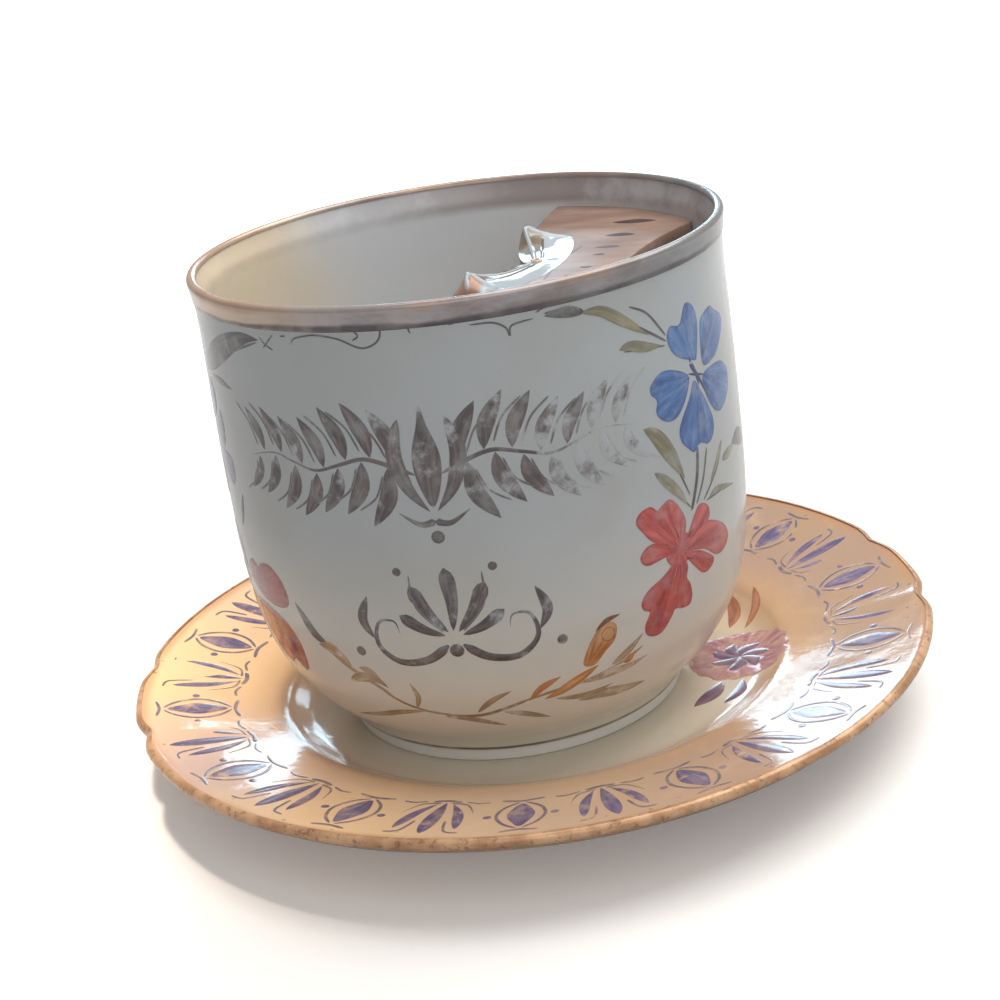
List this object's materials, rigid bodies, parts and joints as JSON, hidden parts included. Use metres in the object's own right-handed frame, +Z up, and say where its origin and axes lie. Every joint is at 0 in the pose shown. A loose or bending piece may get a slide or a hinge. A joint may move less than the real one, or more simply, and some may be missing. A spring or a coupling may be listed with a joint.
{
  "type": "mustache cup",
  "caption": "Round porcelain cup with a built-in moustache guard, half-moon drink opening and loop handle, standing on a shallow saucer.",
  "frame": {"origin": "centre of the bottom of the saucer's foot ring, on the surface it stands on", "axes": "+Z up, +X towards the drinker, the way the moustache guard lies from the cup's axis, +Y towards the handle, -Y the painted front"},
  "size_m": [0.144, 0.144, 0.0903],
  "materials": {
    "cup_glaze": "gloss",
    "lip_gilding": "worn satin gilding",
    "guard_lustre": "gloss lustre",
    "crest_glaze": "gloss",
    "saucer_lustre": "gloss lustre",
    "edge_gilding": "worn satin gilding"
  },
  "bodies": {
    "saucer": {"saucer": "saucer_lustre", "saucer_foot_ring": "saucer_lustre", "saucer_rim_gilding": "edge_gilding"},
    "cup": {"cup_body": "cup_glaze", "cup_foot_ring": "cup_glaze", "cup_rim_gilding": "lip_gilding", "moustache_guard": "guard_lustre", "guard_crest": "crest_glaze", "handle": "cup_glaze", "thumb_rest": "cup_glaze"}
  },
  "joints": [
    {"name": "cup_lift", "type": "slide", "parent": "saucer", "child": "cup", "axis": [0, 0, 1], "range_m": [0, 0.1]}
  ]
}
